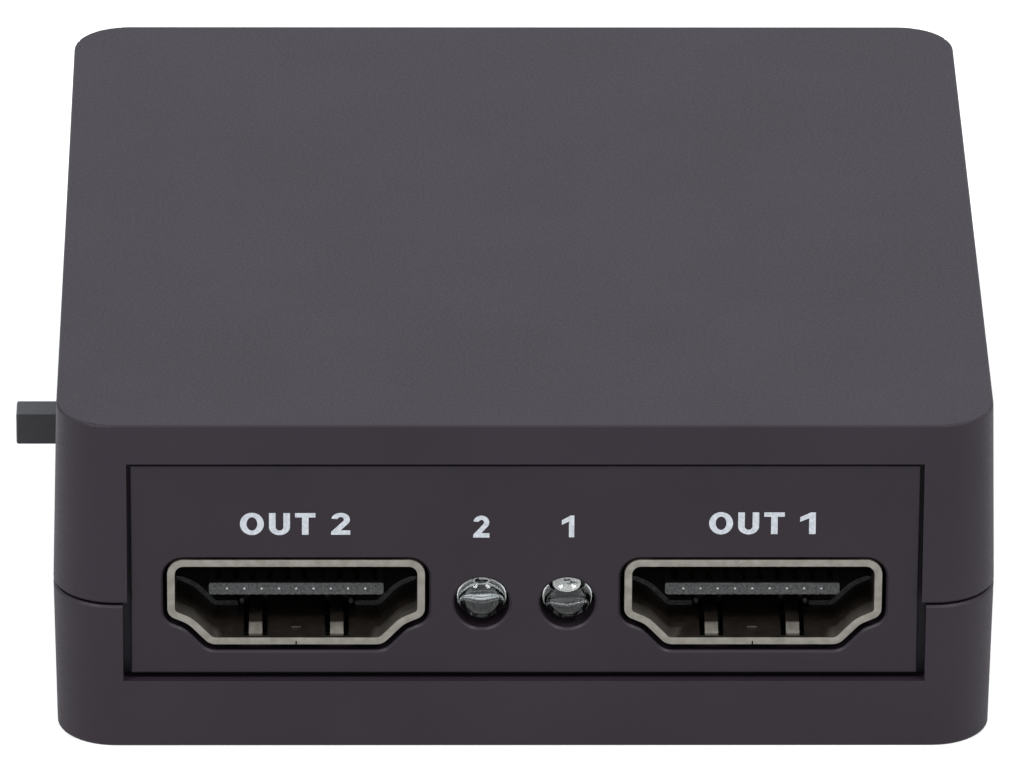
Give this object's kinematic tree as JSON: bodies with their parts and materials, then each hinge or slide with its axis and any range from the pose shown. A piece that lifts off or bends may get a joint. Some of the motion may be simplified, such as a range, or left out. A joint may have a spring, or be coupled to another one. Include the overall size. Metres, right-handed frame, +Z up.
{
  "type": "video splitter",
  "caption": "Small flat video splitter box with keyed output sockets and clear lamps in front, an input socket and a power jack behind, and a slide switch in its left side.",
  "frame": {"origin": "middle of the case's base, on the surface that it stands on", "axes": "+X to the right of the front, +Y from the front with the output sockets to the back, +Z up; the switch knob stands out to -X"},
  "size_m": [0.0573, 0.0584, 0.0205],
  "materials": {
    "case_plastic": "fine moulded texture",
    "panel_plastic": "smooth moulded",
    "socket_steel": "nickel plated",
    "moulding_plastic": "moulded",
    "contact_metal": "gold flash",
    "lamp_lens": "clear epoxy",
    "lead_metal": "tinned",
    "screw_steel": "black zinc",
    "board_laminate": "solder mask",
    "chip_plastic": "moulded",
    "switch_steel": "plated",
    "switch_laminate": "phenolic",
    "knob_plastic": "moulded",
    "spring_metal": "sprung strip",
    "jack_plastic": "moulded",
    "can_aluminium": "drawn",
    "ceramic_body": "sintered",
    "crystal_ceramic": "sintered",
    "resistor_body": "glazed",
    "fuse_body": "coated"
  },
  "bodies": {
    "case": {"upper_shell": "case_plastic", "lower_shell": "case_plastic", "front_panel": "panel_plastic", "rear_panel": "panel_plastic", "case_screws": "screw_steel", "circuit_board": "board_laminate", "output_1_shell": "socket_steel", "output_1_moulding": "moulding_plastic", "output_1_contacts": "contact_metal", "output_2_shell": "socket_steel", "output_2_moulding": "moulding_plastic", "output_2_contacts": "contact_metal", "input_shell": "socket_steel", "input_moulding": "moulding_plastic", "input_contacts": "contact_metal", "lamp_1_lens": "lamp_lens", "lamp_1_leads": "lead_metal", "lamp_2_lens": "lamp_lens", "lamp_2_leads": "lead_metal", "switch_frame": "switch_steel", "switch_base": "switch_laminate", "switch_terminals": "lead_metal", "power_jack_housing": "jack_plastic", "power_jack_pin": "lead_metal", "power_jack_spring": "spring_metal", "splitter_chip": "chip_plastic", "splitter_chip_leads": "lead_metal", "controller_chip": "chip_plastic", "controller_chip_leads": "lead_metal", "memory_chip": "chip_plastic", "memory_chip_leads": "lead_metal", "main_regulator": "chip_plastic", "main_regulator_leads": "lead_metal", "core_regulator": "chip_plastic", "core_regulator_leads": "lead_metal", "crystal_base": "crystal_ceramic", "crystal_lid": "lead_metal", "capacitor_bases": "jack_plastic", "capacitor_cans": "can_aluminium", "ceramic_capacitors": "ceramic_body", "capacitor_ends": "lead_metal", "resistors": "resistor_body", "resistor_ends": "lead_metal", "surge_arrays": "chip_plastic", "ferrite_bead": "resistor_body", "fuse": "fuse_body"},
    "knob": {"switch_knob": "knob_plastic", "switch_wiper": "spring_metal"}
  },
  "joints": [
    {"name": "knob_slide", "type": "slide", "parent": "case", "child": "knob", "axis": [0, 1, 0], "range_m": [0, 0.002]}
  ]
}
